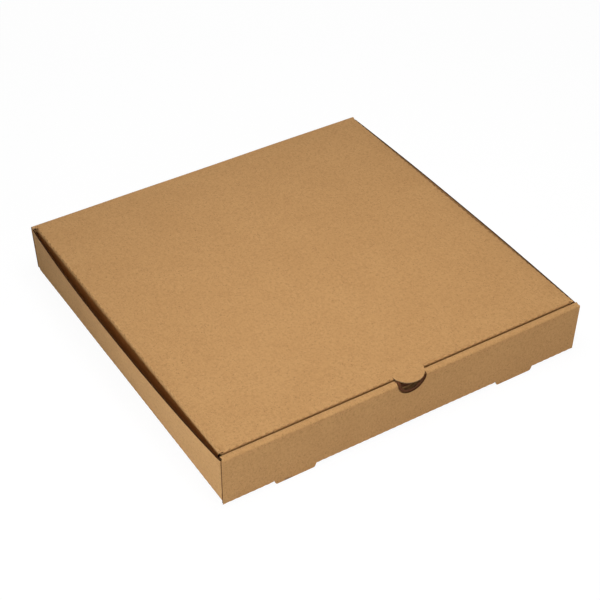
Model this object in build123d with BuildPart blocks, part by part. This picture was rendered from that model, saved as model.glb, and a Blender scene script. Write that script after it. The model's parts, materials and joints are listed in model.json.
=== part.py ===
"""Pizza box folded from one sheet of thin corrugated board, with a rolled front wall and a hinged lid."""

import os

from build123d import *

# All sizes are in millimetres

# Board and its folds
board = 1.5  # thickness of the board
crease = 0.2  # inner radius of a fold
base_round = 1.2  # outer radius of the folds round the base, which are perforated
layer_gap = 0.15  # play between two layers that lie against each other
move_gap = 0.3  # play between the lid and the tray
edge_gap = 0.8  # play between the lower edge of a standing flap and the base
cut_gap = 0.15  # width of a cut through the board
fold = board + crease
fold_reach = fold + crease  # flat board starts this far from the edge of a fold

# Tray
width = 302.6  # over the side folds of the base
depth = 303.6  # over the front and back walls, at the base
lid_height = 42.7  # top of the closed lid over the underside of the base
front_drop = 0.2  # rolled front wall below the top of the lid
side_play = 1.0  # side walls below the underside of the lid
corner_lean = 1.4  # how far the side walls lean out at their ends
left_bow = 3.4  # how far the top of the left wall bows out between its ends
right_bow = 2.4  # how far the top of the right wall bows out between its ends
front_lean_out = 0.7  # how far the front wall leans out at its top
front_round = 1.5  # upper corners of the front wall
front_left_reach = 1.2  # front wall past the left side fold at the base
front_right_reach = 0.0  # same on the right
front_left_lean = 1.4  # front wall past the left side fold at its top
front_right_lean = 0.6  # same on the right
inner_play = 0.5  # inner layer of the front wall to each side wall

# Corner flaps of the side walls
corner_flap_length = 96.0
corner_flap_drop = 1.2  # upper edge below that of the side wall
corner_flap_taper = 2.5
corner_flap_round = 5.0

# Feet under the front wall, and the locking tabs behind them
foot_drop = 2.8  # below the underside of the base
foot_offset = 95.0  # middle of a foot from the middle of the box
foot_width = 35.0
foot_inset = 2.0  # how much narrower each side of a foot is at its lower edge
foot_round = 1.6
lock_play = 0.5  # locking tab to the narrow end of its opening
lock_lift = 0.3  # locking tab above the underside of the base

# Thumb notch in the front wall, and the half-moon tab on the lid
notch_shift = 0.3  # to the right of the middle
notch_radius = 12.5
notch_depth = 12.4  # below the top of the front wall
tab_shift = 0.75  # to the right of the middle
tab_play = 0.2  # how much smaller the radius of the tab is
tab_overhang = 4.1  # tab in front of the foot of the front wall

# Lid
lid_front_gap = 0.9  # fold of the front flap behind the rolled front wall
flap_clear = 10.0  # lower edges of the lid's flaps over the base
flap_play = 0.6  # how much more the side flaps lean in than the side walls lean out
front_flap_taper = 7.0
side_flap_front = 1.5  # side flaps behind the fold of the front flap
side_flap_slant = 13.5  # how far their front edges slant back
side_flap_rear = 12.0  # side flaps in front of the hinge
side_flap_taper = 6.0  # same for their rear edges
flap_round = 5.0  # lower corners of the lid's flaps
hinge_gap = 0.2  # the back wall and the lid each stop this far from the hinge line

# Places, with the origin on the ground under the middle of the whole box
left_reach = corner_lean + left_bow
right_reach = corner_lean + right_bow
left_x = -(left_reach + width + right_reach) / 2 + left_reach
right_x = left_x + width
mid_x = (left_x + right_x) / 2
front_y = -(tab_overhang + depth) / 2 + tab_overhang
rear_y = front_y + depth
mid_y = (front_y + rear_y) / 2
base_z = foot_drop
floor_z = base_z + board
wall_z = base_z + base_round + crease
lip_z = base_z + 2 * fold
lid_z = base_z + lid_height
front_z = lid_z - front_drop
side_z = lid_z - board - side_play
hinge_z = lid_z - hinge_gap

# Layers of the rolled front wall and the corner flaps that lie between and behind them
roll = 3 * board + 2 * layer_gap
inner_y = front_y + roll - board
corner_front = front_y + board + layer_gap
corner_rear = rear_y - board - layer_gap

# Outlines that belong together
foot_length = foot_drop + board
lock_width = foot_width - 2 * (foot_inset + lock_play)
notch_x = mid_x + notch_shift
notch_z = front_z - notch_depth + notch_radius
tab_x = mid_x + tab_shift
tab_radius = notch_radius - tab_play
tab_y = front_y - tab_overhang + tab_radius

# Folds of the lid, whose flaps lean in enough to clear the tray as the lid swings
lid_front = front_y + roll + lid_front_gap
lid_flat = lid_front + fold_reach
lid_rear = rear_y - hinge_gap
lid_under = lid_z - board
lid_half = width / 2 + corner_lean - board - move_gap
flap_depth = lid_height - board - flap_clear
flap_z = lid_z - flap_depth
front_lean = flap_depth**2 / (2 * (rear_y - lid_front)) + move_gap
side_lean = corner_lean + flap_play

walls = ((-1, left_x, left_bow), (1, right_x, right_bow))
front_left = left_x - front_left_lean
front_right = right_x + front_right_lean

# Side walls with their corner flaps, straight along the base and bowed out along the top
with BuildPart() as side_walls:
    for side, face_x, bow in walls:
        tip_x = face_x - side * corner_flap_length
        inner_x = face_x - side * board
        lean_x = face_x + side * corner_lean
        lean_inner_x = lean_x - side * board
        with BuildSketch(Plane.XY.offset(floor_z)) as wall_foot:
            with BuildLine():
                Polyline(
                    (tip_x, corner_front),
                    (face_x, corner_front),
                    (face_x, corner_rear),
                    (tip_x, corner_rear),
                    (tip_x, corner_rear - board),
                    (inner_x, corner_rear - board),
                    (inner_x, corner_front + board),
                    (tip_x, corner_front + board),
                    close=True,
                )
            make_face()
            corners = wall_foot.vertices().filter_by_position(Axis.X, face_x - crease, face_x + crease)
            fillet(corners, radius=fold)
        with BuildSketch(Plane.XY.offset(side_z)) as wall_top:
            with BuildLine():
                Line((tip_x, corner_front), (lean_x, corner_front))
                ThreePointArc((lean_x, corner_front), (lean_x + side * bow, mid_y), (lean_x, corner_rear))
                Polyline(
                    (lean_x, corner_rear),
                    (tip_x, corner_rear),
                    (tip_x, corner_rear - board),
                    (lean_inner_x, corner_rear - board),
                )
                ThreePointArc(
                    (lean_inner_x, corner_rear - board),
                    (lean_inner_x + side * bow, mid_y),
                    (lean_inner_x, corner_front + board),
                )
                Polyline(
                    (lean_inner_x, corner_front + board),
                    (tip_x, corner_front + board),
                    (tip_x, corner_front),
                )
            make_face()
            corners = wall_top.vertices().filter_by_position(Axis.X, lean_x - crease, lean_x + crease)
            fillet(corners, radius=fold)
        loft(ruled=True)

        # Free edges of the corner flaps, seen from the front
        root_x = inner_x - side * fold
        past_x = tip_x - side * board
        with BuildSketch(Plane.XZ) as flap_edges:
            with BuildLine():
                Polyline(
                    (root_x, floor_z - board),
                    (past_x, floor_z - board),
                    (past_x, side_z + board),
                    (root_x, side_z + board),
                    (root_x, side_z - corner_flap_drop),
                    (tip_x, side_z - corner_flap_drop - corner_flap_taper),
                    (tip_x, floor_z + edge_gap + corner_flap_taper),
                    (root_x, floor_z + edge_gap),
                    close=True,
                )
            make_face()
            corners = flap_edges.vertices().filter_by_position(Axis.X, tip_x - crease, tip_x + crease)
            fillet(corners, radius=corner_flap_round)
        extrude(amount=depth, both=True, mode=Mode.SUBTRACT)

# Front wall above the base fold: outer layer, top strip and inner layer in one roll
with BuildPart() as front_wall:
    with BuildSketch(Plane.YZ.offset(front_left)) as rolled:
        with BuildLine():
            Polyline(
                (front_y, wall_z),
                (front_y, lip_z),
                (front_y - front_lean_out, front_z),
                (front_y + roll, front_z),
                (front_y + roll, floor_z + edge_gap),
                (inner_y, floor_z + edge_gap),
                (inner_y, front_z - board),
                (front_y + board - front_lean_out, front_z - board),
                (front_y + board, lip_z),
                (front_y + board, wall_z),
                close=True,
            )
        make_face()
        fillet(rolled.vertices().group_by(Axis.Y)[-1], radius=fold)
    extrude(amount=front_right - front_left)

    # Outline from the front, with the thumb notch
    with BuildSketch(Plane.XZ) as front_outline:
        with BuildLine():
            Polyline(
                (left_x - front_left_reach, base_z),
                (right_x + front_right_reach, base_z),
                (front_right, front_z),
                (front_left, front_z),
                close=True,
            )
        make_face()
        fillet(front_outline.vertices().group_by(Axis.Y)[-1], radius=front_round)
        with Locations((notch_x, notch_z)):
            Circle(notch_radius, mode=Mode.SUBTRACT)
            Rectangle(2 * notch_radius, lid_height, align=(Align.CENTER, Align.MIN), mode=Mode.SUBTRACT)
    extrude(amount=depth, both=True, mode=Mode.INTERSECT)

    # Strip and inner layer narrow down to fit between the side walls
    for side, face_x, bow in walls:
        end_x = face_x - side * (board + inner_play)
        past_x = face_x + side * board
        with BuildSketch(Plane.XY.offset(floor_z)) as roll_end:
            with BuildLine():
                Polyline(
                    (past_x, corner_front),
                    (face_x, corner_front),
                    (end_x, inner_y),
                    (end_x, inner_y + roll),
                    (past_x, inner_y + roll),
                    close=True,
                )
            make_face()
        extrude(amount=lid_height, mode=Mode.SUBTRACT)

    # Locking tabs
    with BuildSketch(Plane.XZ.offset(-inner_y)) as locks:
        with Locations((mid_x - foot_offset, floor_z + fold), (mid_x + foot_offset, floor_z + fold)):
            Rectangle(lock_width, floor_z + fold - base_z - lock_lift, align=(Align.CENTER, Align.MAX))
        fillet(locks.vertices().group_by(Axis.Y)[0], radius=board / 2)
    extrude(amount=-board)

# Tray: base, back wall and the fold of the front wall, then the walls that stand on them
with BuildPart() as tray:
    with BuildSketch(Plane.YZ.offset(left_x)) as section:
        with BuildLine():
            Polyline(
                (front_y, lip_z),
                (front_y, base_z),
                (rear_y, base_z),
                (rear_y, hinge_z),
                (rear_y - board, hinge_z - board),
                (rear_y - board, floor_z),
                (front_y + board, floor_z),
                (front_y + board, lip_z),
                close=True,
            )
        make_face()
        fillet(section.vertices().group_by(Axis.Y)[0], radius=base_round)
    extrude(amount=width)

    # Rounded side folds
    with BuildSketch(Plane.XZ) as side_folds:
        with BuildLine():
            Polyline((left_x, base_z), (right_x, base_z), (right_x, lid_z), (left_x, lid_z), close=True)
        make_face()
        fillet(side_folds.vertices().group_by(Axis.Y)[0], radius=base_round)
    extrude(amount=depth, both=True, mode=Mode.INTERSECT)

    # Each foot stays upright with the front wall and leaves its own outline open in the base
    for foot_x in (mid_x - foot_offset, mid_x + foot_offset):
        with BuildSketch(Plane.XY.offset(base_z - edge_gap)) as opening:
            with BuildLine():
                Polyline(
                    (foot_x - foot_width / 2, front_y + board),
                    (foot_x + foot_width / 2, front_y + board),
                    (foot_x + foot_width / 2 - foot_inset, front_y + board + foot_length),
                    (foot_x - foot_width / 2 + foot_inset, front_y + board + foot_length),
                    close=True,
                )
            make_face()
            fillet(opening.vertices().group_by(Axis.Y)[-1], radius=foot_round)
        extrude(amount=board + 2 * edge_gap, mode=Mode.SUBTRACT)
        with BuildSketch(Plane.XZ.offset(-front_y)) as foot:
            with BuildLine():
                Polyline(
                    (foot_x - foot_width / 2, lip_z),
                    (foot_x - foot_width / 2, floor_z),
                    (foot_x - foot_width / 2 + foot_inset, floor_z - foot_length),
                    (foot_x + foot_width / 2 - foot_inset, floor_z - foot_length),
                    (foot_x + foot_width / 2, floor_z),
                    (foot_x + foot_width / 2, lip_z),
                    close=True,
                )
            make_face()
            fillet(foot.vertices().group_by(Axis.Y)[0], radius=foot_round)
        extrude(amount=-board)

    add(front_wall.part)
    add(side_walls.part)

# Front flap of the lid, with the half-moon cut out of it
with BuildPart() as front_flap:
    with BuildSketch(Plane.YZ.offset(mid_x)) as folded:
        with BuildLine():
            Polyline(
                (lid_flat + fold, lid_z),
                (lid_front, lid_z),
                (lid_front + front_lean, flap_z),
                (lid_front + front_lean + board, flap_z),
                (lid_front + board, lid_under),
                (lid_flat + fold, lid_under),
                close=True,
            )
        make_face()
        fillet(folded.vertices().group_by(Axis.X)[0], radius=fold)
    extrude(amount=lid_half, both=True)

    # Outline from the front
    flap_half = lid_half - fold_reach
    with BuildSketch(Plane.XZ) as flap_outline:
        with BuildLine():
            Polyline(
                (mid_x - flap_half, lid_z),
                (mid_x - flap_half, lid_z - fold),
                (mid_x - flap_half + front_flap_taper, flap_z),
                (mid_x + flap_half - front_flap_taper, flap_z),
                (mid_x + flap_half, lid_z - fold),
                (mid_x + flap_half, lid_z),
                close=True,
            )
        make_face()
        fillet(flap_outline.vertices().group_by(Axis.Y)[0], radius=flap_round)
        with Locations((tab_x, lid_z + tab_y - lid_flat)):
            Circle(tab_radius + cut_gap, mode=Mode.SUBTRACT)
    extrude(amount=depth, both=True, mode=Mode.INTERSECT)

# Lid: panel with its side flaps, the front flap and the half-moon tab
with BuildPart() as lid:
    with BuildSketch(Plane.XZ.offset(-lid_rear)) as cover:
        with BuildLine():
            Polyline(
                (mid_x - lid_half + side_lean, flap_z),
                (mid_x - lid_half, lid_z),
                (mid_x + lid_half, lid_z),
                (mid_x + lid_half - side_lean, flap_z),
                (mid_x + lid_half - side_lean - board, flap_z),
                (mid_x + lid_half - board, lid_under),
                (mid_x - lid_half + board, lid_under),
                (mid_x - lid_half + side_lean + board, flap_z),
                close=True,
            )
        make_face()
        fillet(cover.vertices().group_by(Axis.Y)[-1], radius=fold)
    extrude(amount=lid_rear - lid_flat)

    # Ends of the side flaps
    with BuildSketch(Plane.YZ.offset(mid_x)) as side_flap_ends:
        with BuildLine():
            Polyline(
                (lid_flat - board, lid_under),
                (lid_flat + side_flap_front, lid_under),
                (lid_flat + side_flap_front + side_flap_slant, flap_z),
                (lid_flat + side_flap_front + side_flap_slant, flap_z - board),
                (lid_flat - board, flap_z - board),
                close=True,
            )
        make_face()
        with BuildLine():
            Polyline(
                (lid_rear + board, lid_under),
                (lid_rear - side_flap_rear, lid_under),
                (lid_rear - side_flap_rear - side_flap_taper, flap_z),
                (lid_rear - side_flap_rear - side_flap_taper, flap_z - board),
                (lid_rear + board, flap_z - board),
                close=True,
            )
        make_face()
    extrude(amount=width, both=True, mode=Mode.SUBTRACT)
    fillet(lid.edges().filter_by(Axis.X).group_by(Axis.Z)[0], radius=flap_round)

    add(front_flap.part)

    # The half-moon stays in the plane of the lid
    with BuildSketch(Plane.XY.offset(lid_under)) as moon:
        with Locations((tab_x, tab_y)):
            Circle(tab_radius)
            Rectangle(2 * tab_radius, tab_radius, align=(Align.CENTER, Align.MIN))
    extrude(amount=board)

    # Mitre at the hinge
    with BuildSketch(Plane.YZ.offset(mid_x)) as mitre:
        with BuildLine():
            Polyline(
                (lid_rear, lid_z),
                (lid_rear + board, lid_z),
                (lid_rear + board, lid_z - 2 * board),
                (lid_rear - 2 * board, lid_z - 2 * board),
                close=True,
            )
        make_face()
    extrude(amount=width, both=True, mode=Mode.SUBTRACT)

os.makedirs("parts", exist_ok=True)
tray.part.label = "tray"
export_step(tray.part, "parts/tray.step")
lid.part.label = "lid"
export_step(lid.part, "parts/lid.step")
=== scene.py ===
"""Looks of the pizza box: folded corrugated board with flutes and perforated folds, on a pale floor."""

import json
import math

import bmesh
import bpy
import numpy as np
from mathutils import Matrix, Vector, noise
from mathutils.geometry import delaunay_2d_cdt
from mathutils.kdtree import KDTree


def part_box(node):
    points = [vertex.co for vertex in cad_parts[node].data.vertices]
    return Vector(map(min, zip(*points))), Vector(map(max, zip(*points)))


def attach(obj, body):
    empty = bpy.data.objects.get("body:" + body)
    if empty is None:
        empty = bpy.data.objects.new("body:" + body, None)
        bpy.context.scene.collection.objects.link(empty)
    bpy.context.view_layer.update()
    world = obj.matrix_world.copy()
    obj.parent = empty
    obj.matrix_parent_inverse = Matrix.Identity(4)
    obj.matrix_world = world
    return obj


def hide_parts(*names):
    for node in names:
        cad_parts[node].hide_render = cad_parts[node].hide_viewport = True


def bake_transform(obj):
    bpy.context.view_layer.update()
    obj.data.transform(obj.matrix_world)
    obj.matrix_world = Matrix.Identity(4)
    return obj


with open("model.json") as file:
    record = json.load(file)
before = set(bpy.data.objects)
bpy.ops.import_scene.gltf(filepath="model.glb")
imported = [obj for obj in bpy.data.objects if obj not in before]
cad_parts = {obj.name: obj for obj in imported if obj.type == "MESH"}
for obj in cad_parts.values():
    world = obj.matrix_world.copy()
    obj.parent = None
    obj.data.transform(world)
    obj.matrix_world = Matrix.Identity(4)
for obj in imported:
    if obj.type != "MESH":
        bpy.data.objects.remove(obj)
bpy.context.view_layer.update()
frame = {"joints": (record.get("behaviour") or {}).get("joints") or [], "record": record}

# Lengths are in millimetres, and become metres when a mesh is made
MM = 0.001

# Board
board = 1.5
liner = 0.2  # each of the two flat papers
medium = 0.16  # fluted paper between them
flute_pitch = 3.3
flute_band = (0.7, 1.6, 3.0)  # depths behind a cut edge at which the fluted paper is modelled
crease = 0.2  # inner radius of a fold
fold = board + crease  # outer radius of a plain fold
fold_round = 0.9  # outer radius of a perforated fold
press_reach = 1.8  # how far in from a cut edge the board is pressed

# Perforated folds: cuts through the board with bridges between them
cut_pitch = 5.8
cut_steps = 8  # points along each repeat
cut_spacing = cut_pitch / cut_steps
cut_swing = 0.9  # how steeply a cut begins and ends
cut_half = 0.38  # half the width of a cut, as a share of the fold
cut_depth = 0.5  # how far a fold of the lid sinks in at a cut
base_cut_depth = 0.12  # same round the base

# Spacing of points
flat_spacing = 12.0
wall_spacing = 8.0  # along the bowed side walls
wall_rise_spacing = 6.0  # same upwards
tab_spacing = 4.0
fold_spacing = 2.4
foot_spacing = 2.0
wall_end_spacing = 1.8
round_spacing = 1.0
bend_spacing = 0.45
flute_spacing = 8.0  # of the fluted paper, at most, along an edge
flute_step = 0.55  # same across the flutes
fold_rows = 6  # steps over a fold
corner_steps = 5
notch_steps = 28
tab_steps = 40
tab_cut_steps = 32

# Limits of the mesh
rim_length = 0.8  # shortest edge with a point behind it
point_gap = 0.3  # least distance of a point from the outline
plane_gap = 1e-5  # tolerance of the triangulation
path_gap = 1e-6  # tolerance of the lengths along a section
weld_gap = 0.004  # points nearer than this become one
sharp_angle = 42.0  # degrees between two faces at which the shading breaks

# Warp of the board
warp_size = 0.15
warp_length = 70.0
warp_seed = 7  # set, because the noise module starts from the time of day
noise.seed_set(warp_seed)

# Tray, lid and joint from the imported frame
places = {m["name"]: [c / MM for c in m["pos_m"]] for m in frame["record"]["mounts"]}
tray_low, tray_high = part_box("tray")
lid_low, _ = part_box("lid")
mid_x, mid_y, base_z = places["base_underside"]
lid_z = places["lid_top"][2]
rear_y = frame["joints"][0]["pos_m"][1] / MM

# Tray: a value for each side is kept under -1 for the left and 1 for the right
corner_lean = 1.4  # how far the side walls lean out at their ends
bows = {-1: 3.4, 1: 2.4}  # how far they bow out along their tops
extra_bows = {-1: 1.1, 1: 0.0}  # how much more those of the real box do
left_x = tray_low.x / MM + corner_lean + bows[-1]
right_x = tray_high.x / MM - corner_lean - bows[1]
front_y = 2 * mid_y - rear_y
front_z = tray_high.z / MM
floor_z = base_z + board
side_drop = 1.0  # top of the side walls below the lid's underside
side_z = lid_z - board - side_drop
layer_gap = 0.15
edge_gap = 0.8
roll = 3 * board + 2 * layer_gap  # depth of the rolled front wall
corner_front = front_y + board + layer_gap
corner_rear = rear_y - board - layer_gap
corner_flap_length = 96.0
corner_flap_drop = 1.2
corner_flap_taper = 2.5
corner_flap_round = 5.0

# Front wall
front_round = {-1: 1.5, 1: 0.8}  # its upper corners
front_lean_out = 0.7  # how far it leans out at its top
front_bow = 0.6  # how far its upper edge bows out between its ends
front_reach = {-1: 1.2, 1: -0.4}  # its ends past the side folds at the base
front_lean = {-1: 1.4, 1: 0.5}  # same at its top
front_turn = 0.4  # how far round the base fold, as a share, its ends have their full reach
strip_shift = 0.6  # how far the rear edge of its top strip is drawn forward
strip_reach = {-1: 0.4, 1: 0.9}  # ends of the strip past the side folds, over the side walls
inner_gap = 0.5
inner_inset = board + inner_gap  # ends of its inner layer from the side folds

# Feet and locking tabs
foot_offset = 95.0
foot_places = (mid_x - foot_offset, mid_x + foot_offset)
foot_width = 35.0
foot_inset = 2.0
foot_round = 1.6
foot_length = base_z + board
lock_gap = 0.5
lock_half = foot_width / 2 - foot_inset - lock_gap
lock_rise = 0.3
lock_z = base_z + lock_rise

# Thumb notch
notch_x = mid_x
notch_depth = 12.4
notch_radius = 12.4
notch_z = front_z - notch_depth + notch_radius  # its centre
notch_lift = 2.0  # how much higher it ends in the inner layer
tab_room = 1.5  # how much wider it is behind, on the right, for the tab
tab_room_share = 0.4  # share of that where the strip starts to turn down

# Lid
lid_front_gap = 0.9
lid_front = front_y + roll + lid_front_gap
lid_flat = lid_front + fold + crease
lid_side_gap = 0.3
lid_half = (right_x - left_x) / 2 + corner_lean - board - lid_side_gap
lid_left_inset = 0.9  # how much further in the lid of the real box ends on the left
lid_left = mid_x - lid_half + lid_left_inset
lid_right = mid_x + lid_half
flap_z = lid_low.z / MM
flap_depth = lid_z - flap_z
flap_round = 5.0
front_flap_clear = 0.3
front_flap_lean = flap_depth**2 / (2 * (rear_y - lid_front)) + front_flap_clear
front_flap_taper = 7.0
flap_inset = fold + crease  # ends of the front flap from the side folds
corner_close = 0.3  # same for its fold
side_flap_clear = 0.6
side_lean = corner_lean + side_flap_clear
side_flap_front = 0.3
side_flap_slant = 13.5
side_flap_rear = 3.4
side_flap_taper = 14.6
hinge_reach = 2 * board  # width of the hinge crease on each side of the hinge line

# Half-moon tab of the lid
tab_shift = 1.6  # to the right
tab_x = mid_x + tab_shift
tab_radius = 12.8
tab_forward = 0.5  # how much further forward it reaches than the solid
tab_y = lid_low.y / MM + tab_radius - tab_forward  # its centre
tab_half = math.sqrt(tab_radius**2 - (tab_y - lid_flat) ** 2)  # half its width where the flat lid starts
tab_low = math.degrees(math.acos(tab_half / tab_radius))  # angle of its ends below its centre
cut_gap = 0.15

# Material slots of the pieces; the flute slot is darker than the real paper, painted shade of the hollows
# in the board
LINER, INSIDE, CUT, SHADED_FLUTE = range(4)

# Kinds of edge, by the share of the thickness that the cutting die leaves
JOINED = 0.0  # goes on in the next panel
PRESSED = 0.45  # cut along the flutes or round a curve
OPEN = 0.75  # cut across the flutes
BUTTED = 1.0  # meets the hinge crease

# Paper: the patterns' sizes are in waves per metre
cloud_scale = 34.0
cloud_fade = 0.85  # how far the plain colour covers the clouds
grain_scale = 520.0
speck_scale = 1150.0
fibre_scale = (900.0, 190.0, 1.0)  # across the fibres, along them and through the paper
flute_relief = 0.05
fibre_relief = 0.35
grain_relief = 0.3
bump_strength = 0.22
bump_height = 0.0004  # metres
rough_less = 0.06  # how far the grain takes the roughness down
rough_more = 0.08  # same up
paper_specular = 0.25

# Floor and world
floor_half = 4.0  # metres
floor_grey = 0.66
floor_glow = 1.06  # strength of the white that shows as background
floor_glow_share = 0.9  # the rest is floor with the shadow of the box
ambient_strength = 0.06
backdrop_strength = 1.0
white = (1.0, 1.0, 1.0)

# Camera, as fitted to the edges of the box in the photo
camera_azimuth = -31.893  # degrees
camera_elevation = 39.404
camera_distance = 1170.6
camera_right = 2.96  # shift of the camera in its own plane
camera_up = 4.35
aim_shift = (-0.35, 0.3, -41.5)  # point that it looks at, from the middle of the lid
camera_lens = 89.9
camera_sensor = 36.0
camera_clip = 0.05  # metres


def held(value):
    """A value held between 0 and 1."""
    return min(1.0, max(0.0, value))


def sharpened(part):
    """How far the outer face of a sharp fold stands out from a round one, part of the way round it."""
    turned = math.pi / 2 * held(part)
    offset = fold - fold_round
    middle = offset * (math.cos(turned) + math.sin(turned))
    rounded_out = middle + math.sqrt(max(0.0, fold_round**2 - 2 * offset**2 + middle**2))
    straight = fold / max(math.cos(turned), math.sin(turned))
    return min(rounded_out, straight) - fold


def bent_path(start, heading, steps):
    """Outer face of the board in section: straight runs, and clockwise turns of the radius fold.

    Returns a function of the length along the path and the depth under the outer face, which gives
    the place in the section and how far a turn has gone (None in a run), and the lengths at which
    steps end.
    """
    spans, ends = [], [0.0]
    (a, b), angle = start, math.radians(heading)
    for kind, amount in steps:
        if kind == "run":
            length, turn = amount, 0.0
            spans.append((ends[-1], length, turn, angle, a, b, kind))
            a += math.cos(angle) * length
            b += math.sin(angle) * length
        else:
            turn = math.radians(amount)
            length = fold * turn
            a += math.sin(angle) * fold
            b -= math.cos(angle) * fold
            spans.append((ends[-1], length, turn, angle, a, b, kind))
            angle -= turn
            a -= math.sin(angle) * fold
            b += math.cos(angle) * fold
        ends.append(ends[-1] + length)

    def at(s, depth):
        index = sum(s > end + path_gap for end in ends[1:-1])
        begin, length, turn, angle, a, b, kind = spans[index]
        if turn:
            part = (s - begin) / length
            angle -= turn * part
            reach = depth - fold
            if kind == "sharp turn":
                reach -= sharpened(part) * (1 - depth / board)
            return a + math.sin(angle) * reach, b - math.cos(angle) * reach, part
        along = s - begin
        a += math.cos(angle) * along + math.sin(angle) * depth
        b += math.sin(angle) * along - math.cos(angle) * depth
        return a, b, None

    return at, ends


def arc(u, v, radius, first, last, count):
    """Points on an arc, with angles in degrees."""
    angles = (math.radians(first + (last - first) * k / count) for k in range(count + 1))
    return [(u + radius * math.cos(t), v + radius * math.sin(t)) for t in angles]


def rounded(before, corner, after, radius):
    """Points on the arc that rounds a corner of an outline."""
    p, c, n = (Vector(q) for q in (before, corner, after))
    one, two = (p - c).normalized(), (n - c).normalized()
    half = one.angle(two) / 2
    centre = c + (one + two).normalized() * (radius / math.sin(half))
    first = c + one * (radius / math.tan(half)) - centre
    second = c + two * (radius / math.tan(half)) - centre
    sweep = first.angle_signed(second)
    turned = []
    for k in range(corner_steps + 1):
        t = -sweep * k / corner_steps
        x = first.x * math.cos(t) - first.y * math.sin(t)
        y = first.x * math.sin(t) + first.y * math.cos(t)
        turned.append((centre.x + x, centre.y + y))
    return turned


def spread(first, last, spacing):
    """Evenly spaced values from first to last."""
    count = max(1, round(abs(last - first) / spacing))
    return [first + (last - first) * k / count for k in range(count + 1)]


def over_fold(first, last):
    """Evenly spaced values over the turn of a fold."""
    return [first + (last - first) * k / fold_rows for k in range(fold_rows + 1)]


def grid(us, vs):
    """Every pair of a value across the blank and one along it."""
    return [(u, v) for u in us for v in vs]


def edge(points, spacing=flat_spacing, kind=PRESSED):
    """Corners of an outline whose edges have the same spacing and kind."""
    return [(u, v, spacing, kind) for u, v in points]


def walked(loops):
    """Evenly spaced points round loops whose corners are (u, v, spacing, kind).

    Returns the points, the kind of the edge that starts at each, and for each loop its first point
    and the number of its points.
    """
    outline, kinds, rings = [], [], []
    for loop in loops:
        first = len(outline)
        for (u0, v0, spacing, kind), (u1, v1, _, _) in zip(loop, loop[1:] + loop[:1]):
            count = max(1, round(math.hypot(u1 - u0, v1 - v0) / spacing))
            for k in range(count):
                outline.append((u0 + (u1 - u0) * k / count, v0 + (v1 - v0) * k / count))
                kinds.append(kind)
        rings.append((first, len(outline) - first))
    return outline, kinds, rings


def inside(points, loops):
    """Which points lie in an outline with holes."""
    points = np.array(points)
    found = np.zeros(len(points), bool)
    for loop in loops:
        ends = np.array(loop)
        for (u0, v0), (u1, v1) in zip(ends, np.roll(ends, -1, axis=0)):
            if v0 != v1:
                across = (v0 > points[:, 1]) != (v1 > points[:, 1])
                found ^= across & (points[:, 0] < u0 + (points[:, 1] - v0) * (u1 - u0) / (v1 - v0))
    return found


def rim_points(outline, edges, kinds):
    """Points behind the cut edges, where the board has its full thickness again."""
    behind = []
    for (i, j), kind in zip(edges, kinds):
        (u0, v0), (u1, v1) = outline[i], outline[j]
        length = math.hypot(u1 - u0, v1 - v0)
        if kind and length > rim_length:
            across = press_reach / length
            behind.append(((u0 + u1) / 2 + (v0 - v1) * across, (v0 + v1) / 2 + (u1 - u0) * across))
    return behind


def triangulated(outline, edges, rings, points):
    """Triangles over an outline with holes, with more points between its edges.

    Returns the places of the corners, the triangles, and the corner at each point of the outline.
    """
    tree = KDTree(len(outline))
    for k, (u, v) in enumerate(outline):
        tree.insert((u, v, 0), k)
    tree.balance()
    shapes = [outline[i : i + n] for i, n in rings]
    within = [p for p, ok in zip(points, inside(points, shapes)) if ok]
    free = [p for p in within if tree.find((*p, 0))[2] > point_gap]
    flat = [Vector(p) for p in outline + free]
    corners, _, faces, sources, _, _ = delaunay_2d_cdt(flat, edges, [], 0, plane_gap)
    spots = [tuple(p) for p in corners]
    middles = [np.mean([spots[i] for i in face], axis=0) for face in faces]
    kept = [face for face, ok in zip(faces, inside(middles, shapes)) if ok]
    found = {source: index for index, group in enumerate(sources) for source in group}
    return spots, kept, found


def cut_share(along):
    """1 at the cuts of a perforated fold and 0 at the bridges between them."""
    return held(0.5 - math.cos(2 * math.pi * along / cut_pitch) * cut_swing)


def warp(point):
    """Slow unevenness of the board."""
    return warp_size * noise.noise_vector(point / warp_length)


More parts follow.
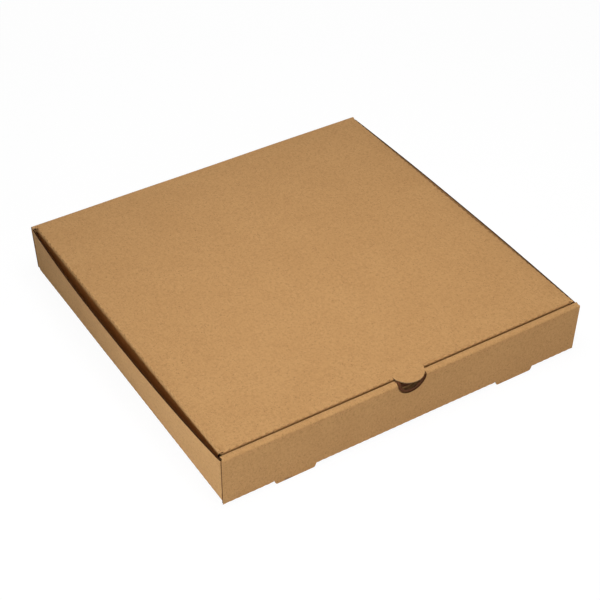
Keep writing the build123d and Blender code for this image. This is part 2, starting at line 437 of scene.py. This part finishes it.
class Board:
    """Collects the faces of one folded sheet."""

    def __init__(self):
        self.verts, self.faces, self.slots, self.uvs, self.slits = [], [], [], [], []

    def add_face(self, corners, slot, uvs):
        """Adds a face, with the places of its corners on the flat blank."""
        self.faces.append(corners)
        self.slots.append(slot)
        self.uvs.extend(uvs)

    def add_point(self, place, u, v, depth, cuts):
        """Puts a point of the flat blank, at a depth under the outer face, in its place on the box."""
        x, y, z, part, along = place(u, v, depth)
        slit = 0.0
        if part is not None and cuts and depth < board / 2:
            slit = cut_share(along) * max(0.0, 1 - abs(part - 0.5) / cut_half)
            x, y, z, part, along = place(u, v, depth + cuts * slit)
        point = Vector((x, y, z))
        self.verts.append((point + warp(point)) * MM)
        self.slits.append(slit)
        return len(self.verts) - 1

    def panel(self, place, loops, points, cuts=0.0, hollow=True):
        """Adds the liners over an outline with holes, the cut edges, and the fluted paper behind them.

        Board that isn't hollow is crushed, with nothing between its faces.
        """
        outline, kinds, rings = walked(loops)
        edges = [(i + k, i + (k + 1) % n) for i, n in rings for k in range(n)]
        points = points + rim_points(outline, edges, kinds)
        spots, faces, found = triangulated(outline, edges, rings, points)

        pressed = {}
        for ends, kind in zip(edges, kinds):
            for k in ends if kind else ():
                pressed[found[k]] = min(kind, pressed.get(found[k], 1.0))
        depths = (0.0, liner, board - liner, board) if hollow else (0.0, board)
        slots = (LINER, SHADED_FLUTE, SHADED_FLUTE, INSIDE) if hollow else (LINER, INSIDE)
        layers = {depth: [] for depth in depths}
        for index, (u, v) in enumerate(spots):
            share = pressed.get(index, 1.0)
            for depth, layer in layers.items():
                real = depth if depth < board / 2 else board * share - (board - depth)
                layer.append(self.add_point(place, u, v, real, cuts))
        for k, (depth, slot) in enumerate(zip(depths, slots)):
            outward = k % 2 == 0
            for face in faces:
                order = face if outward else face[::-1]
                self.add_face([layers[depth][i] for i in order], slot, [spots[i] for i in order])

        for (i, j), kind in zip(edges, kinds):
            if kind:
                a, b = found[i], found[j]
                # edges cut across the flutes get the dark flute paper on their rims, painted shade of the
                # open flutes
                slot = SHADED_FLUTE if kind == OPEN else CUT
                for top, bottom in zip(depths[::2], depths[1::2]):
                    corners = [layers[bottom][a], layers[bottom][b], layers[top][b], layers[top][a]]
                    self.add_face(corners, slot, [spots[k] for k in (a, b, b, a)])
        for begin, count in rings if hollow else ():
            self.flutes(place, outline[begin : begin + count], kinds[begin : begin + count])

    def flutes(self, place, ring, kinds):
        """Adds the fluted paper along the cut edges of one loop, one strip for each run of one kind."""
        count = len(ring)
        start = next((k for k in range(count) if kinds[k] != kinds[k - 1]), 0)
        run = []
        for k in range(start, start + count):
            kind = kinds[k % count]
            run.append(ring[k % count])
            if kinds[(k + 1) % count] != kind or k == start + count - 1:
                run.append(ring[(k + 1) % count])
                if kind:
                    self.flute_strip(place, run, kind)
                run = []

    def flute_strip(self, place, run, kind):
        """Adds the fluted paper behind one run of edge, as a closed sheet. A run of one step has none."""
        columns = []
        for (u0, v0), (u1, v1) in zip(run, run[1:]):
            length = math.hypot(u1 - u0, v1 - v0)
            normal = ((v0 - v1) / length, (u1 - u0) / length)
            count = max(1, math.ceil(max(abs(v1 - v0) / flute_step, length / flute_spacing)))
            for k in range(count):
                columns.append((u0 + (u1 - u0) * k / count, v0 + (v1 - v0) * k / count, normal))
        columns.append((*run[-1], normal))
        if len(columns) < 3:
            return
        middle = board * kind / 2
        swing = middle - liner - medium / 2
        sheets = []
        for side in (-1, 1):
            rows = []
            for reach in flute_band:
                row = []
                for u, v, (nu, nv) in columns:
                    uu, vv = u + nu * reach, v + nv * reach
                    wave = math.sin(2 * math.pi * vv / flute_pitch)
                    depth = middle + swing * wave + side * medium / 2
                    row.append((self.add_point(place, uu, vv, depth, 0.0), (uu, vv)))
                rows.append(row)
            sheets.append(rows)
        top, bottom = sheets
        last = len(flute_band) - 1
        for k in range(len(columns) - 1):
            for j in range(last):
                self.quad(top[j][k], top[j][k + 1], top[j + 1][k + 1], top[j + 1][k])
                self.quad(bottom[j][k + 1], bottom[j][k], bottom[j + 1][k], bottom[j + 1][k + 1])
            self.quad(bottom[0][k], bottom[0][k + 1], top[0][k + 1], top[0][k])
            self.quad(bottom[last][k + 1], bottom[last][k], top[last][k], top[last][k + 1])
        for j in range(last):
            self.quad(bottom[j + 1][0], bottom[j][0], top[j][0], top[j + 1][0])
            self.quad(bottom[j][-1], bottom[j + 1][-1], top[j + 1][-1], top[j][-1])

    def quad(self, *corners):
        """Adds a face of the fluted paper."""
        self.add_face([c[0] for c in corners], SHADED_FLUTE, [c[1] for c in corners])

    def piece(self, name, materials):
        """Makes the mesh object, with the panels welded along their shared folds."""
        mesh = bpy.data.meshes.new(name)
        mesh.from_pydata(self.verts, [], self.faces)
        layer = mesh.uv_layers.new(name="blank")
        layer.data.foreach_set("uv", [c * MM for uv in self.uvs for c in uv])
        mesh.polygons.foreach_set("material_index", self.slots)
        # share of the cut at each point, which the materials darken as painted shade in the slits
        slit = mesh.attributes.new("slit", "FLOAT", "POINT")
        slit.data.foreach_set("value", self.slits)
        work = bmesh.new()
        work.from_mesh(mesh)
        bmesh.ops.remove_doubles(work, verts=work.verts, dist=weld_gap * MM)
        work.to_mesh(mesh)
        work.free()
        mesh.polygons.foreach_set("use_smooth", [True] * len(mesh.polygons))
        mesh.set_sharp_from_angle(angle=math.radians(sharp_angle))
        for material in materials:
            mesh.materials.append(material)
        made = bpy.data.objects.new(name, mesh)
        bpy.context.scene.collection.objects.link(made)
        return made


def back_to_front(sheet):
    """Back wall, base and rolled front wall, one strip of board that goes round four folds."""
    top_z = lid_z - hinge_reach
    at, ends = bent_path(
        (rear_y, top_z),
        -90,
        [
            ("run", top_z - base_z - fold),
            ("sharp turn", 90),
            ("run", rear_y - front_y - 2 * fold),
            ("sharp turn", 90),
            ("run", front_z - base_z - 2 * fold),
            ("turn", 90),
            ("run", roll - 2 * fold),
            ("sharp turn", 90),
            ("run", front_z - fold - floor_z - edge_gap),
        ],
    )
    back_0, back_1, front_0, front_1, top_0, top_1, strip_1, inner_0, end = ends[1:]

    def place(u, v, depth):
        y, z, part = at(v, depth)
        if v > front_1:
            across = (u - mid_x) / (right_x - mid_x)
            out = front_lean_out + front_bow * max(0.0, 1 - across * across)
            rise = held((v - front_1) / (top_0 - front_1))
            turned = held((v - top_0) / (inner_0 - top_0))
            sunk = held((v - inner_0) / (end - inner_0))
            y -= rise * (out * (1 - turned) + strip_shift * turned * (1 - sunk))
        if v > top_0 - bend_spacing:
            part = None
        return u, y, z, part, u

    def base_v(y):
        return back_1 + rear_y - fold - y

    def outer_v(z):
        return front_1 + z - base_z - fold

    def inner_v(z):
        return inner_0 + front_z - fold - z

    def side_edge(face_x, side):
        """Edge of the strip on one side, from the hinge crease to the end of the inner layer."""
        near, far = base_v(corner_rear - fold), base_v(corner_front + fold)
        edge_x = face_x - side * fold
        low_x = face_x + side * front_reach[side]
        top_x = face_x + side * front_lean[side]
        back_x = face_x + side * corner_lean
        strip_x = face_x + side * strip_reach[side]
        inner_x = face_x - side * inner_inset

        def end_x(z):
            """End of the front wall at a height, with its rounded upper corner."""
            radius = front_round[side]
            rise = max(0.0, z - front_z + radius)
            inset = radius - math.sqrt(max(0.0, radius**2 - rise**2))
            return low_x + (top_x - low_x) * (z - base_z) / (front_z - base_z) - side * inset

        corner = [(end_x(front_z - fold), top_0)]
        for k in range(1, fold_rows + 1):
            turned = math.pi / 2 * k / fold_rows
            corner.append((end_x(front_z - fold + fold * math.sin(turned)), top_0 + fold * turned))
        foot_v = front_0 + (front_1 - front_0) * front_turn
        strip = [((corner[-1][0] + strip_x) / 2, strip_1), (strip_x, inner_0)]
        return (
            edge([(back_x, 0), (face_x, back_0)], wall_end_spacing, OPEN)
            + edge([(edge_x, back_1)], flat_spacing, OPEN)
            + edge([(edge_x, near)], cut_spacing, JOINED)
            + edge([(edge_x, far)], flat_spacing, OPEN)
            + edge([(edge_x, front_0), (low_x, foot_v), (low_x, front_1)], bend_spacing, OPEN)
            + edge(corner + strip, bend_spacing, OPEN)
            + edge([(inner_x, inner_0 + fold)], flat_spacing, OPEN)
            + edge([(inner_x, end)])
        )

    def reverse(corners):
        """Same edges, walked the other way."""
        back = corners[::-1]
        return [(u, v, *kind) for (u, v, _, _), (_, _, *kind) in zip(back, back[1:] + back[-1:])]

    # Outline, down the right side, along the locking tabs and back up the left side
    locks = []
    lock_v = inner_v(lock_z)
    for foot_x in foot_places[::-1]:
        right, left = foot_x + lock_half, foot_x - lock_half
        locks += [(right, end)]
        locks += rounded((right, end), (right, lock_v), (left, lock_v), board / 2)
        locks += rounded((right, lock_v), (left, lock_v), (left, end), board / 2)
        locks += [(left, end)]
    outer = side_edge(right_x, 1) + edge(locks) + reverse(side_edge(left_x, -1))
    outer[-1] = (*outer[-1][:2], fold_spacing, BUTTED)

    # Thumb notch through both layers
    reach = math.sqrt(notch_radius**2 - (front_z - fold - notch_z) ** 2)
    low = math.degrees(math.asin((notch_z - front_z + fold) / notch_radius))
    lower = arc(notch_x, notch_z, notch_radius, 180 + low, 360 - low, notch_steps)
    lift = notch_lift / (front_z - fold - notch_z + notch_radius)
    inner = [(u, inner_v(z + (front_z - fold - z) * lift)) for u, z in lower[::-1]]
    notch = edge([(u, outer_v(z)) for u, z in lower[:-1]], round_spacing, OPEN)
    end_x = notch_x + reach
    turn_x = end_x + tab_room * tab_room_share
    notch += edge([(end_x, top_0), (end_x, top_1), (turn_x, strip_1)], bend_spacing, OPEN)
    notch += edge([(end_x + tab_room, inner_0)] + inner[1:-1], round_spacing)
    notch += edge([(notch_x - reach, inner_0)], bend_spacing, OPEN)

    # Openings that the feet leave in the base
    holes = [notch]
    rear_v = base_v(front_y + board + foot_length)
    for foot_x in foot_places:
        left, right = foot_x - foot_width / 2, foot_x + foot_width / 2
        rear_left, rear_right = (left + foot_inset, rear_v), (right - foot_inset, rear_v)
        hole = edge([(right, front_1), (right, front_0)], bend_spacing)
        hole += edge(rounded((right, front_0), rear_right, rear_left, foot_round))
        hole += edge(rounded(rear_right, rear_left, (left, front_0), foot_round))
        hole += edge([(left, front_0)], bend_spacing)
        hole += edge([(left, front_1)], cut_spacing, JOINED)
        holes.append(hole)

    points = []
    across = spread(left_x, right_x, flat_spacing)
    for first, last in ((0, back_0), (back_1, front_0), (front_1, top_0), (inner_0, end)):
        points += grid(across, spread(first, last, flat_spacing))
    perforated = spread(left_x, right_x, cut_spacing)
    for first, last in ((back_0, back_1), (front_0, front_1)):
        points += grid(perforated, over_fold(first, last))
    plain = spread(left_x, right_x, fold_spacing)
    for first, last in ((top_0, top_1), (strip_1, inner_0)):
        points += grid(plain, over_fold(first, last))
    sheet.panel(place, [outer] + holes, points, base_cut_depth)


def feet(sheet):
    """Feet that hang from the front wall through the base fold."""

    def place(u, v, depth):
        return u, front_y + depth, base_z + fold + v, None, u

    low = -base_z - fold
    for foot_x in foot_places:
        left, right = foot_x - foot_width / 2, foot_x + foot_width / 2
        corners = ((left, 0), (left + foot_inset, low), (right - foot_inset, low), (right, 0))
        outline = edge([(left, 0)])
        outline += edge(rounded(*corners[:3], foot_round), foot_spacing)
        outline += edge(rounded(*corners[1:], foot_round), foot_spacing)
        outline += edge([(right, 0)], cut_spacing, JOINED)
        points = grid(spread(left, right, fold_spacing), spread(low, 0, fold_spacing))
        sheet.panel(place, [outline], points)


def side_wall(sheet, face_x, side):
    """Side wall with its base fold and two corner flaps, bowed out along its top."""
    tip = corner_flap_length - fold
    length = corner_rear - corner_front - 2 * fold
    first_y = corner_front if side < 0 else corner_rear
    at, ends = bent_path(
        (face_x - side * corner_flap_length, first_y),
        180 if side < 0 else 0,
        [("run", tip), ("turn", 90), ("run", length), ("turn", 90), ("run", tip)],
    )
    root, wall_0, wall_1, far_root, far_end = ends[1:]
    height = side_z - base_z - fold

    def place(u, v, depth):
        if u < 0:
            turned = -u / fold
            part = turned / (math.pi / 2)
            reach = fold - depth + sharpened(part) * (1 - depth / board)
            x = face_x - side * fold + side * math.cos(turned) * reach
            y = at(v, depth)[1]
            return x, y, base_z + fold - math.sin(turned) * reach, part, y
        x, y, _ = at(v, depth)
        share = u / height
        part = min(1.0, max(-1.0, 2 * (v - wall_0) / length - 1))
        bow = bows[side] * (1 - part**2)
        extra_bow = extra_bows[side] * (1 - part**4)
        x += side * share * (corner_lean + bow + extra_bow)
        return x, y, base_z + fold + u, None, y

    low = edge_gap - crease
    top = height - corner_flap_drop
    base = -fold * math.pi / 2
    flap_corners = (
        (low, root),
        (low + corner_flap_taper, 0),
        (top - corner_flap_taper, 0),
        (top, root),
    )
    flap = [(0, wall_0), (low, wall_0 - fold)]
    flap += rounded(*flap_corners[:3], corner_flap_round)
    flap += rounded(*flap_corners[1:], corner_flap_round)
    flap += [(top, root - fold), (height, root + fold)]
    outline = edge([(base, wall_1)], cut_spacing, JOINED)
    outline += edge([(base, wall_0)], bend_spacing, OPEN)
    outline += edge(flap, fold_spacing, OPEN)
    outline += edge([(u, far_end - v) for u, v in flap[::-1]], fold_spacing, OPEN)

    points = grid(over_fold(0, base), spread(wall_1, wall_0, cut_spacing))
    points += grid(spread(0, height, wall_rise_spacing), spread(wall_0, wall_1, wall_spacing))
    for first, last in ((root, wall_0), (wall_1, far_root)):
        points += grid(spread(0, height, fold_spacing), over_fold(first, last))
    for first, last in ((0, tip), (far_root, far_end)):
        points += grid(spread(low, top, flat_spacing), spread(first, last, flat_spacing))
    sheet.panel(place, [outline], points, base_cut_depth)


def cover(sheet):
    """Lid panel with its half-moon tab and its two side flaps."""
    lean = math.degrees(math.atan(side_lean / flap_depth))
    tangent = fold * math.tan(math.radians(90 + lean) / 2)
    flap = math.hypot(side_lean, flap_depth) - tangent
    at, ends = bent_path(
        (lid_left + side_lean, flap_z),
        90 + lean,
        [
            ("run", flap),
            ("sharp turn", 90 + lean),
            ("run", lid_right - lid_left - 2 * tangent),
            ("sharp turn", 90 + lean),
            ("run", flap),
        ],
    )
    left_0, left_1, right_0, right_1, end = ends[1:]
    rear = rear_y - hinge_reach

    def place(u, v, depth):
        x, z, part = at(u, depth)
        return x, v, z, part, v

    def top_u(x):
        return left_1 + x - (lid_left + tangent)

    tab_u = top_u(tab_x)
    moon = arc(tab_u, tab_y, tab_radius, 180 + tab_low, 360 - tab_low, tab_steps)
    front_v, rear_v = lid_flat + side_flap_front, rear_y - side_flap_rear
    corners = (
        (right_1, front_v),
        (end, front_v + side_flap_slant),
        (end, rear_v - side_flap_taper),
        (right_1, rear_v),
    )
    side_flap = [corners[0]]
    side_flap += rounded(*corners[:3], flap_round)
    side_flap += rounded(*corners[1:], flap_round)
    side_flap += [corners[3]]

    outline = edge([(left_0, lid_flat), (left_1, lid_flat)], bend_spacing)
    outline += edge([(top_u(lid_left + flap_inset), lid_flat)], cut_spacing, JOINED)
    outline += edge([(tab_u - tab_half - cut_gap, lid_flat)])
    outline += edge(moon, round_spacing)
    outline += edge([(tab_u + tab_half + cut_gap, lid_flat)], cut_spacing, JOINED)
    outline += edge([(top_u(lid_right - flap_inset), lid_flat)])
    outline += edge([(right_0, lid_flat)], bend_spacing)
    outline += edge([(right_1, lid_flat)])
    outline += edge(side_flap, fold_spacing, OPEN)
    outline += edge([(right_1, rear)], bend_spacing)
    outline += edge([(right_0, rear)], fold_spacing, BUTTED)
    outline += edge([(left_1, rear)], bend_spacing)
    outline += edge([(left_0, rear)])
    outline += edge([(end - u, v) for u, v in side_flap[::-1]], fold_spacing, OPEN)

    points = []
    down = spread(lid_flat, rear, flat_spacing)
    for first, last in ((left_1, right_0), (0, left_0), (right_1, end)):
        points += grid(spread(first, last, flat_spacing), down)
    perforated = spread(lid_flat, rear, cut_spacing)
    for first, last in ((left_0, left_1), (right_0, right_1)):
        points += grid(over_fold(first, last), perforated)
    tab_us = spread(tab_u - tab_half, tab_u + tab_half, tab_spacing)
    points += grid(tab_us, spread(tab_y - tab_radius, lid_flat, tab_spacing))
    sheet.panel(place, [outline], points, cut_depth)


def front_flap(sheet):
    """Front flap of the lid, with the half-moon cut out of it."""
    lean = math.degrees(math.atan(front_flap_lean / flap_depth))
    tangent = fold * math.tan(math.radians(90 + lean) / 2)
    at, ends = bent_path(
        (lid_front + front_flap_lean, flap_z),
        90 + lean,
        [
            ("run", math.hypot(front_flap_lean, flap_depth) - tangent),
            ("sharp turn", 90 + lean),
            ("run", lid_flat - lid_front - tangent),
        ],
    )
    fold_0, fold_1, end = ends[1:]

    def place(u, v, depth):
        y, z, part = at(v, depth)
        past = max(0.0, lid_left + fold_round - u, u - lid_right + fold_round)
        z -= fold_round - math.sqrt(fold_round**2 - past**2)
        return u, y, z, part, u

    left, right = lid_left + flap_inset, lid_right - flap_inset
    corners = (
        (left, fold_0),
        (left + front_flap_taper, 0),
        (right - front_flap_taper, 0),
        (right, fold_0),
    )
    radius = tab_radius + cut_gap
    moon_z = lid_z + tab_y - lid_flat
    fold_top = lid_z - tangent
    low = math.degrees(math.asin((moon_z - fold_top) / radius))
    moon_arc = arc(tab_x, moon_z, radius, 360 - low, 180 + low, tab_cut_steps)
    moon = [(u, fold_0 + z - fold_top) for u, z in moon_arc]
    half = tab_half + cut_gap
    bent = (fold_0 + fold_1) / 2
    far_left, far_right = lid_left + corner_close, lid_right - corner_close

    outline = edge(rounded(*corners[:3], flap_round), fold_spacing)
    outline += edge(rounded(*corners[1:], flap_round), fold_spacing)
    outline += edge([(right, fold_0), (far_right, bent), (far_right, end)], bend_spacing)
    outline += edge([(right, end)], cut_spacing, JOINED)
    outline += edge([(tab_x + half, end)], bend_spacing)
    outline += edge(moon[:-1], round_spacing)
    outline += edge(moon[-1:], bend_spacing)
    outline += edge([(tab_x - half, end)], cut_spacing, JOINED)
    outline += edge([(left, end), (far_left, end)], bend_spacing)
    outline += edge([(far_left, bent), (left, fold_0)], bend_spacing)
    points = grid(spread(left, right, flat_spacing), spread(0, fold_0, flat_spacing))
    points += grid(spread(left, right, cut_spacing), over_fold(fold_0, fold_1))
    sheet.panel(place, [outline], points, cut_depth)


def hinge_crease(sheet):
    """Creased board between the lid and the back wall."""
    run = hinge_reach - fold
    steps = [("run", run), ("turn", 90), ("run", run)]
    at, ends = bent_path((rear_y - hinge_reach, lid_z), 0, steps)
    fold_0, fold_1, end = ends[1:]

    def place(u, v, depth):
        y, z, part = at(v, depth)
        return u, y, z, part, u

    left, right = left_x - corner_lean, right_x + corner_lean
    outline = edge([(left, 0)], fold_spacing, BUTTED)
    outline += edge([(lid_right, 0), (lid_right, fold_1)], bend_spacing, OPEN)
    outline += edge([(right, end)], fold_spacing, BUTTED)
    outline += edge([(left, end)], bend_spacing, OPEN)
    points = grid(spread(left, right, fold_spacing), over_fold(fold_0, fold_1))
    sheet.panel(place, [outline], points, hollow=False)


class Nodes:
    """Short way to write the nodes of a material or of the world."""

    def __init__(self, owner):
        owner.use_nodes = True
        self.tree = owner.node_tree
        self.tree.nodes.clear()

    def feed(self, socket, value):
        """Links a socket to another one, or sets its value."""
        if isinstance(value, bpy.types.NodeSocket):
            self.tree.links.new(value, socket)
        else:
            socket.default_value = value

    def add(self, kind, inputs=(), **settings):
        node = self.tree.nodes.new(kind)
        for key, value in settings.items():
            setattr(node, key, value)
        for key, value in dict(inputs).items():
            self.feed(node.inputs[key], value)
        return node

    def math(self, operation, one, two=0.0):
        return self.add("ShaderNodeMath", {0: one, 1: two}, operation=operation).outputs[0]

    def noise(self, vector, scale, detail, roughness):
        values = {"Vector": vector, "Scale": scale, "Detail": detail, "Roughness": roughness}
        return self.add("ShaderNodeTexNoise", values).outputs["Fac"]

    def range(self, value, low, high, to_low, to_high):
        values = {"Value": value, "From Min": low, "From Max": high}
        values.update({"To Min": to_low, "To Max": to_high})
        return self.add("ShaderNodeMapRange", values).outputs["Result"]

    def mix(self, factor, one, two):
        values = {0: factor, 6: one, 7: two}  # the sockets that mix colours
        return self.add("ShaderNodeMix", values, data_type="RGBA").outputs[2]

    def background_rays(self):
        """1 for the rays that show the background, straight, in a gloss or through glass."""
        path = self.add("ShaderNodeLightPath").outputs
        rays = self.math("MAXIMUM", path["Is Camera Ray"], path["Is Glossy Ray"])
        return self.math("MAXIMUM", rays, path["Is Transmission Ray"])


def srgb(red, green, blue):
    """Linear colour of an sRGB colour given in 0 to 255."""
    return tuple(((c / 255 + 0.055) / 1.055) ** 2.4 for c in (red, green, blue)) + (1.0,)


def kraft(name, colour, pale, dark, roughness):
    """Brown paper with cloudy tone, fibres, specks, painted shade in the cuts of the folds and a faint
    print of the flutes.
    """
    material = bpy.data.materials.new(name)
    n = Nodes(material)
    place = n.add("ShaderNodeTexCoord").outputs["Object"]
    blank = n.add("ShaderNodeUVMap", uv_map="blank").outputs["UV"]
    stretched = n.add("ShaderNodeMapping", {"Vector": blank, "Scale": fibre_scale}).outputs["Vector"]
    clouds = n.noise(place, scale=cloud_scale, detail=3.0, roughness=0.55)
    grain = n.noise(place, scale=grain_scale, detail=2.0, roughness=0.6)
    fibres = n.noise(stretched, scale=1.0, detail=3.0, roughness=0.6)
    specks = n.noise(place, scale=speck_scale, detail=1.0, roughness=0.5)
    slit = n.add("ShaderNodeAttribute", attribute_name="slit").outputs["Fac"]

    def tint(tone, pattern, colour, start, full, amount):
        """Mixes a colour in as a pattern goes from start to full."""
        share = n.range(pattern, low=start, high=full, to_low=0.0, to_high=amount)
        return n.mix(share, tone, colour)

    tone = tint(dark, clouds, pale, start=0.32, full=0.68, amount=1.0)
    tone = n.mix(cloud_fade, tone, colour)
    tone = tint(tone, fibres, pale, start=0.50, full=0.74, amount=0.55)
    tone = tint(tone, grain, dark, start=0.54, full=0.30, amount=0.65)
    tone = tint(tone, specks, srgb(104, 68, 38), start=0.36, full=0.25, amount=0.6)
    # painted shade: darker where a perforated fold is cut through
    tone = tint(tone, slit, srgb(92, 58, 30), start=0.4, full=1.0, amount=0.4)

    across = n.add("ShaderNodeSeparateXYZ", {0: blank}).outputs["Y"]
    wave = n.math("SINE", n.math("MULTIPLY", across, 2 * math.pi / (flute_pitch * MM)))
    relief = n.math("MULTIPLY", wave, flute_relief)
    relief = n.math("ADD", relief, n.math("MULTIPLY", fibres, fibre_relief))
    relief = n.math("ADD", relief, n.math("MULTIPLY", grain, grain_relief))
    values = {"Strength": bump_strength, "Distance": bump_height, "Height": relief}
    bump = n.add("ShaderNodeBump", values).outputs[0]
    smooth, rough = roughness - rough_less, roughness + rough_more
    shine = n.range(grain, low=0.3, high=0.7, to_low=smooth, to_high=rough)
    values = {"Base Color": tone, "Roughness": shine, "Normal": bump}
    values["Specular IOR Level"] = paper_specular
    shader = n.add("ShaderNodeBsdfPrincipled", values)
    n.add("ShaderNodeOutputMaterial", {"Surface": shader.outputs[0]})
    return material


def materials():
    """Papers of the box, in the order of the material slots."""
    return [
        kraft(
            "kraft_outside",
            colour=srgb(192, 146, 93),
            pale=srgb(207, 161, 107),
            dark=srgb(173, 127, 76),
            roughness=0.82,
        ),
        kraft(
            "kraft_inside",
            colour=srgb(187, 145, 95),
            pale=srgb(202, 160, 110),
            dark=srgb(168, 127, 80),
            roughness=0.86,
        ),
        kraft(
            "kraft_cut_edge",
            colour=srgb(204, 164, 118),
            pale=srgb(216, 178, 134),
            dark=srgb(176, 134, 90),
            roughness=0.9,
        ),
        # Fluted paper, inner faces of the liners and rims of open cut edges: darker than the real paper,
        # painted shade of the hollows between the liners
        kraft(
            "kraft_flute_painted_shade",
            colour=srgb(96, 56, 29),
            pale=srgb(110, 67, 36),
            dark=srgb(78, 43, 21),
            roughness=0.9,
        ),
    ]


def make_box():
    """Tray, lid and the crease between them."""
    papers = materials()
    tray = Board()
    back_to_front(tray)
    feet(tray)
    side_wall(tray, left_x, -1)
    side_wall(tray, right_x, 1)
    tray_piece = tray.piece("tray_board", papers)
    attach(tray_piece, "tray")
    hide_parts("tray")

    lid = Board()
    cover(lid)
    front_flap(lid)
    lid_piece = lid.piece("lid_board", papers)
    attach(lid_piece, "lid")
    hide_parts("lid")

    hinge = Board()
    hinge_crease(hinge)
    hinge_piece = hinge.piece("hinge_crease", papers)
    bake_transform(hinge_piece)


def make_floor():
    """Pale floor that reads as white and keeps the shadow of the box."""
    half = floor_half
    corners = [(-half, -half, 0), (half, -half, 0), (half, half, 0), (-half, half, 0)]
    mesh = bpy.data.meshes.new("floor")
    mesh.from_pydata(corners, [], [(0, 1, 2, 3)])
    floor = bpy.data.objects.new("floor", mesh)
    bpy.context.scene.collection.objects.link(floor)
    material = bpy.data.materials.new("pale_floor")
    n = Nodes(material)
    plain = n.add("ShaderNodeBsdfDiffuse", {"Color": (floor_grey, floor_grey, floor_grey, 1.0)})
    glow = n.add("ShaderNodeEmission", {"Color": (*white, 1.0), "Strength": floor_glow})
    seen = n.math("MULTIPLY", n.background_rays(), floor_glow_share)
    surface = n.add("ShaderNodeMixShader", {0: seen, 1: plain.outputs[0], 2: glow.outputs[0]})
    n.add("ShaderNodeOutputMaterial", {"Surface": surface.outputs[0]})
    mesh.materials.append(material)


def area_light(name, place, target, size, power, colour=white, spread_angle=180.0):
    """Round lamp at a place, aimed at a target, in metres, watts and degrees."""
    data = bpy.data.lights.new(name, "AREA")
    data.shape = "DISK"
    data.size = size
    data.energy = power
    data.color = colour
    data.spread = math.radians(spread_angle)
    lamp = bpy.data.objects.new(name, data)
    bpy.context.scene.collection.objects.link(lamp)
    lamp.location = place
    lamp.rotation_euler = (Vector(target) - Vector(place)).to_track_quat("-Z", "Y").to_euler()
    lamp.visible_camera = False


def make_light():
    """Dim world with a white background, and four soft lamps."""
    world = bpy.data.worlds.new("studio")
    bpy.context.scene.world = world
    n = Nodes(world)
    ambient = n.add("ShaderNodeBackground", {"Color": (*white, 1.0), "Strength": ambient_strength})
    backdrop = n.add("ShaderNodeBackground", {"Color": (*white, 1.0), "Strength": backdrop_strength})
    values = {0: n.background_rays(), 1: ambient.outputs[0], 2: backdrop.outputs[0]}
    n.add("ShaderNodeOutputWorld", {"Surface": n.add("ShaderNodeMixShader", values).outputs[0]})
    area_light("key", place=(-0.02, -0.08, 0.64), target=(-0.02, -0.06, 0.02), size=0.40, power=2.95)
    area_light("front", place=(0.2, -1.25, 0.45), target=(0.0, -0.1, 0.02), size=0.6, power=4.9)
    area_light("rear", place=(0.35, 1.15, 0.40), target=(0.0, 0.12, 0.02), size=0.6, power=2.6)
    area_light(
        "side",
        place=(-0.60, -0.27, 0.12),
        target=(-0.15, -0.11, 0.02),
        size=0.22,
        power=0.40,
        colour=(0.85, 0.92, 1.0),
        spread_angle=80.0,
    )


def make_camera():
    """Camera at the photograph's viewing angle."""
    azimuth, elevation = math.radians(camera_azimuth), math.radians(camera_elevation)
    back = Vector(
        (
            math.sin(azimuth) * math.cos(elevation),
            -math.cos(azimuth) * math.cos(elevation),
            math.sin(elevation),
        )
    )
    right = Vector((math.cos(azimuth), math.sin(azimuth), 0.0))
    up = back.cross(right)
    data = bpy.data.cameras.new("camera")
    data.lens = camera_lens
    data.sensor_width = camera_sensor
    data.clip_start = camera_clip
    camera = bpy.data.objects.new("camera", data)
    bpy.context.scene.collection.objects.link(camera)
    aim = Vector([c + shift for c, shift in zip((mid_x, mid_y, lid_z), aim_shift)])
    place = aim + back * camera_distance + right * camera_right + up * camera_up
    camera.location = place * MM
    camera.rotation_euler = back.to_track_quat("Z", "Y").to_euler()
    bpy.context.scene.camera = camera


make_box()
make_floor()
make_light()
make_camera()
bpy.context.scene.view_settings.view_transform = "Standard"
